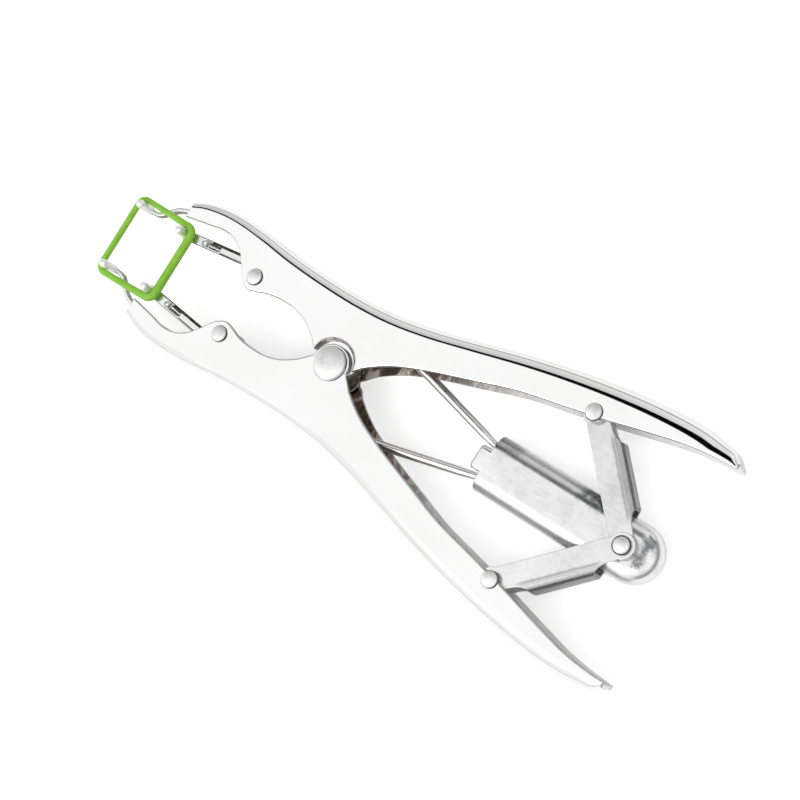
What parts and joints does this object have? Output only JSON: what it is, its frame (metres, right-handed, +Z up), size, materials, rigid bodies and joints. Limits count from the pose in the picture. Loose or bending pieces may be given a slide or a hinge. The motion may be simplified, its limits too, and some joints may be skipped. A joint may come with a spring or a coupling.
{
  "type": "castration pliers",
  "caption": "Reverse-action elastrator pliers: squeezing the folded-sheet handles spreads prongs that stretch a rubber ring for fitting on livestock.",
  "frame": {"origin": "on the main pivot axis, in the plane the tool rests on when it lies flat", "axes": "+X towards the jaws and prongs, +Y to the left with the prongs up, +Z up along the pivot axis and the prongs"},
  "size_m": [0.2295, 0.0896, 0.018],
  "materials": {
    "bright_nickel": "bright nickel plate, slightly worn",
    "zinc_sheet": "satin zinc plate with faint mottling",
    "bright_wire": "drawn bright steel",
    "rivet_nickel": "bright nickel plate",
    "green_rubber": "smooth latex, satin"
  },
  "bodies": {
    "pivot": {"main_rivet": "rivet_nickel", "pivot_sleeve": "rivet_nickel", "rubber_ring": "green_rubber"},
    "carriage": {"slide_shell": "zinc_sheet", "slide_bush": "zinc_sheet", "tail_rivet": "rivet_nickel", "left_rod_anchor": "zinc_sheet", "right_rod_anchor": "zinc_sheet"},
    "left_arm_body": {"left_arm": "bright_nickel", "left_claw": "bright_wire", "left_fixed_prong": "bright_wire", "left_guide_rivet": "rivet_nickel", "left_guide_roller": "rivet_nickel", "left_link_rivet": "rivet_nickel"},
    "left_link_body": {"left_link": "zinc_sheet"},
    "left_rod_body": {"left_pull_rod": "bright_wire", "left_prong_bar": "bright_wire", "left_moving_prong": "bright_wire"},
    "right_arm_body": {"right_arm": "bright_nickel", "right_claw": "bright_wire", "right_fixed_prong": "bright_wire", "right_guide_rivet": "rivet_nickel", "right_guide_roller": "rivet_nickel", "right_link_rivet": "rivet_nickel"},
    "right_link_body": {"right_link": "zinc_sheet"},
    "right_rod_body": {"right_pull_rod": "bright_wire", "right_prong_bar": "bright_wire", "right_moving_prong": "bright_wire"}
  },
  "joints": [
    {"name": "right_arm_hinge", "type": "hinge", "parent": "pivot", "child": "right_arm_body", "pos_m": [0, 0, 0.0087], "axis": [0, 0, 1], "range_deg": [0, 5.6], "deforming": ["rubber_ring"]},
    {"name": "left_arm_hinge", "type": "hinge", "parent": "pivot", "child": "left_arm_body", "pos_m": [0, 0, 0.0087], "axis": [0, 0, 1], "range_deg": [-5.61, 0]},
    {"name": "carriage_slide", "type": "slide", "parent": "pivot", "child": "carriage", "axis": [1, 0, 0], "range_m": [0, 0.01538]},
    {"name": "left_link_hinge", "type": "hinge", "parent": "carriage", "child": "left_link_body", "pos_m": [-0.1148, 0, 0.0087], "axis": [0, 0, 1], "range_deg": [0, 19.52]},
    {"name": "right_link_hinge", "type": "hinge", "parent": "carriage", "child": "right_link_body", "pos_m": [-0.1148, 0, 0.0087], "axis": [0, 0, 1], "range_deg": [-19.52, 0]},
    {"name": "left_rod_hinge", "type": "hinge", "parent": "carriage", "child": "left_rod_body", "pos_m": [-0.069, 0.0039, 0.0087], "axis": [0, 0, 1], "range_deg": [-3.37, 0]},
    {"name": "right_rod_hinge", "type": "hinge", "parent": "carriage", "child": "right_rod_body", "pos_m": [-0.069, -0.0039, 0.0087], "axis": [0, 0, 1], "range_deg": [0, 3.37]}
  ],
  "couplings": [
    {"joint": "left_arm_hinge", "follows": "right_arm_hinge", "ratio": -1},
    {"joint": "carriage_slide", "follows": "right_arm_hinge", "m_per_rad": 0.15726},
    {"joint": "left_link_hinge", "follows": "right_arm_hinge", "ratio": 3.4827},
    {"joint": "right_link_hinge", "follows": "right_arm_hinge", "ratio": -3.4827},
    {"joint": "left_rod_hinge", "follows": "right_arm_hinge", "ratio": -0.59731},
    {"joint": "right_rod_hinge", "follows": "right_arm_hinge", "ratio": 0.59731}
  ]
}
